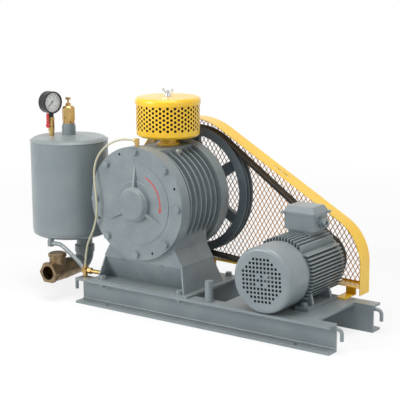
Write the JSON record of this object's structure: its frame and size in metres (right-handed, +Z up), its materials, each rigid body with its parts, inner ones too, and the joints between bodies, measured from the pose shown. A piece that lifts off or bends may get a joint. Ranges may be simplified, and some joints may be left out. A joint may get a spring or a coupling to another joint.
{
  "type": "rotary vacuum pump set",
  "caption": "Belt-driven rotary vane vacuum pump on a steel skid, with electric motor, belt guard, intake filter, separator tank, check valve, relief valve and gauge.",
  "frame": {"origin": "on the floor, midway between the four anchor holes of the two skid rails", "axes": "+X along the skid from the separator tank to the motor, +Y to the belt side, +Z up"},
  "size_m": [1.1089, 0.368, 0.6213],
  "materials": {
    "grey_paint": "satin grey-blue paint",
    "yellow_paint": "gloss yellow paint",
    "brass": "plain brass",
    "bright_steel": "bright zinc",
    "dark_steel": "machined steel",
    "iron": "bare casting",
    "rubber": "black rubber",
    "tube": "beige nylon",
    "red": "red dipped handle",
    "black": "black case",
    "white": "white dial",
    "paper": "pleated element",
    "plastic": "black plastic",
    "lens": "clear",
    "vane": "carbon composite"
  },
  "bodies": {
    "unit": {"skid_rails": "grey_paint", "lashing_hooks": "grey_paint", "motor_plate": "grey_paint", "pump_pedestal": "grey_paint", "pedestal_bolts": "grey_paint", "pump_casing": "grey_paint", "front_cover": "grey_paint", "rear_cover": "grey_paint", "cover_bolts": "grey_paint", "bearing_cap": "grey_paint", "pump_bearings": "dark_steel", "shaft_seal": "rubber", "v_belts": "rubber", "guard_band": "yellow_paint", "guard_mesh": "yellow_paint", "motor_frame": "grey_paint", "motor_fan_end_shield": "grey_paint", "motor_drive_end_shield": "grey_paint", "motor_bearings": "dark_steel", "motor_stator": "dark_steel", "fan_cover": "grey_paint", "motor_bolts": "grey_paint", "terminal_box": "grey_paint", "terminal_lid": "grey_paint", "cable_gland": "grey_paint", "filter_base": "yellow_paint", "filter_screen": "yellow_paint", "filter_element": "paper", "filter_cap": "yellow_paint", "filter_stud": "bright_steel", "intake_plug": "bright_steel", "tank_shell": "grey_paint", "pipe_nipples": "grey_paint", "outlet_elbow": "grey_paint", "check_valve_body": "brass", "check_valve_cap": "brass", "relief_valve_body": "brass", "relief_valve_adjuster": "brass", "relief_valve_spring": "bright_steel", "gauge_cock": "brass", "gauge_case": "black", "gauge_dial": "white", "gauge_lens": "lens", "oil_fittings": "brass", "oil_return_pipe": "grey_paint", "oil_tube": "tube", "jack_bolt": "grey_paint"},
    "pump_rotor": {"rotor": "iron", "vanes": "vane", "rotor_shaft": "dark_steel", "flywheel": "grey_paint"},
    "motor_rotor_group": {"motor_rotor": "dark_steel", "motor_shaft": "dark_steel", "cooling_fan": "plastic", "motor_pulley": "grey_paint"},
    "check_flap": {"check_valve_flap": "brass"},
    "relief_stem": {"relief_valve_stem": "brass"},
    "cock_handle": {"cock_lever": "red"},
    "needle": {"gauge_needle": "black"},
    "clamp_nut": {"wing_nut": "bright_steel"}
  },
  "joints": [
    {"name": "pump_spin", "type": "hinge", "parent": "unit", "child": "pump_rotor", "pos_m": [-0.2045, 0, 0.3155], "axis": [0, 1, 0], "continuous": true},
    {"name": "motor_spin", "type": "hinge", "parent": "unit", "child": "motor_rotor_group", "pos_m": [0.2225, 0, 0.165], "axis": [0, 1, 0], "continuous": true},
    {"name": "check_flap_swing", "type": "hinge", "parent": "unit", "child": "check_flap", "pos_m": [-0.494, -0.116, 0.112], "axis": [-1, 0, 0], "range_deg": [0, 60]},
    {"name": "relief_lift", "type": "slide", "parent": "unit", "child": "relief_stem", "axis": [0, 0, 1], "range_m": [0, 0.005], "deforming": ["relief_valve_spring"]},
    {"name": "cock_turn", "type": "hinge", "parent": "unit", "child": "cock_handle", "pos_m": [-0.58, -0.047, 0.498], "axis": [0, -1, 0], "range_deg": [0, 90]},
    {"name": "needle_turn", "type": "hinge", "parent": "unit", "child": "needle", "pos_m": [-0.58, -0.047, 0.5655], "axis": [-0.9848, 0.1736, 0], "range_deg": [0, 264]},
    {"name": "wing_nut_turn", "type": "hinge", "parent": "unit", "child": "clamp_nut", "pos_m": [-0.2045, 0.03, 0.6], "axis": [0, 0, 1], "continuous": true}
  ],
  "couplings": [
    {"joint": "motor_spin", "follows": "pump_spin", "ratio": 2.6786}
  ]
}
